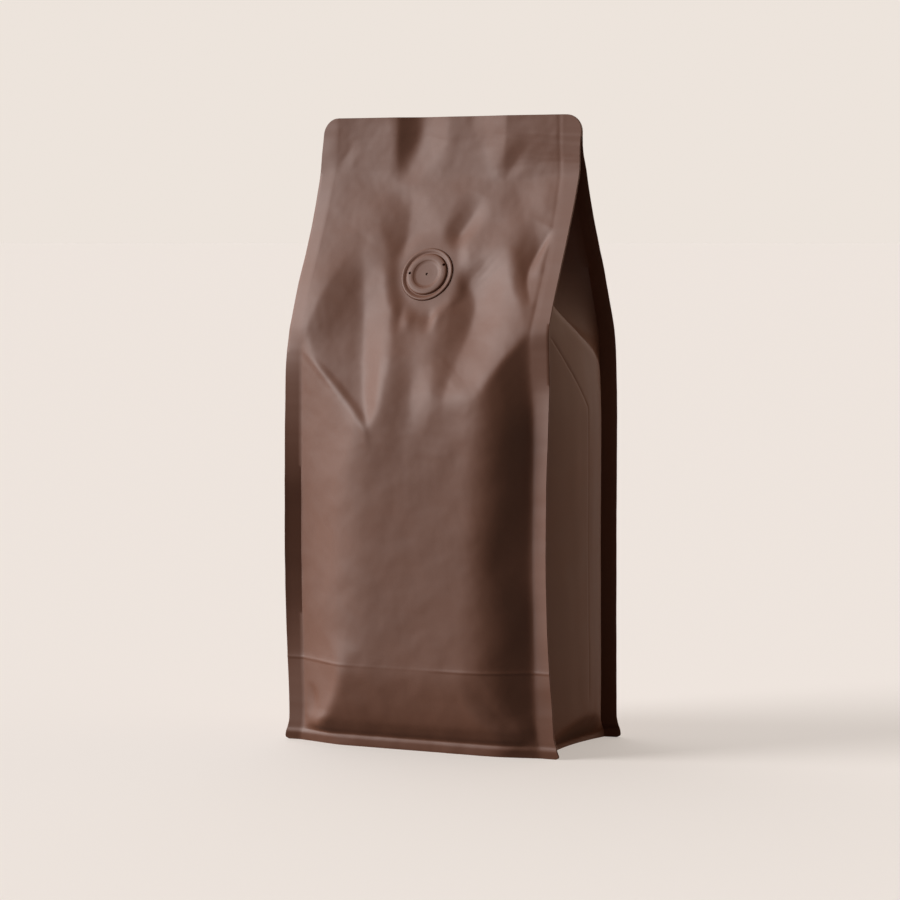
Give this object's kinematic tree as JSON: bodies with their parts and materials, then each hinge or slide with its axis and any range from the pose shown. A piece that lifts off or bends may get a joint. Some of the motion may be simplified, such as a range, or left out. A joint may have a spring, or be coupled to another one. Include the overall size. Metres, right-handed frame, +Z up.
{
  "type": "coffee bag",
  "caption": "Shut flat-bottom bag of matt brown film with corner seals, folded side gussets, a flat top seal and a round one-way valve.",
  "frame": {"origin": "under the middle of the bag's box, on the surface it stands on", "axes": "+Z up, -Y towards the front panel with the valve, +X to the right of the front panel"},
  "size_m": [0.1274, 0.09, 0.2568],
  "materials": {
    "brown_film": "soft matt laminate, mocha brown",
    "brown_valve": "same film drawn over a moulded valve"
  },
  "bodies": {
    "root": {"pouch": "brown_film", "degassing_valve": "brown_valve"}
  },
  "joints": []
}
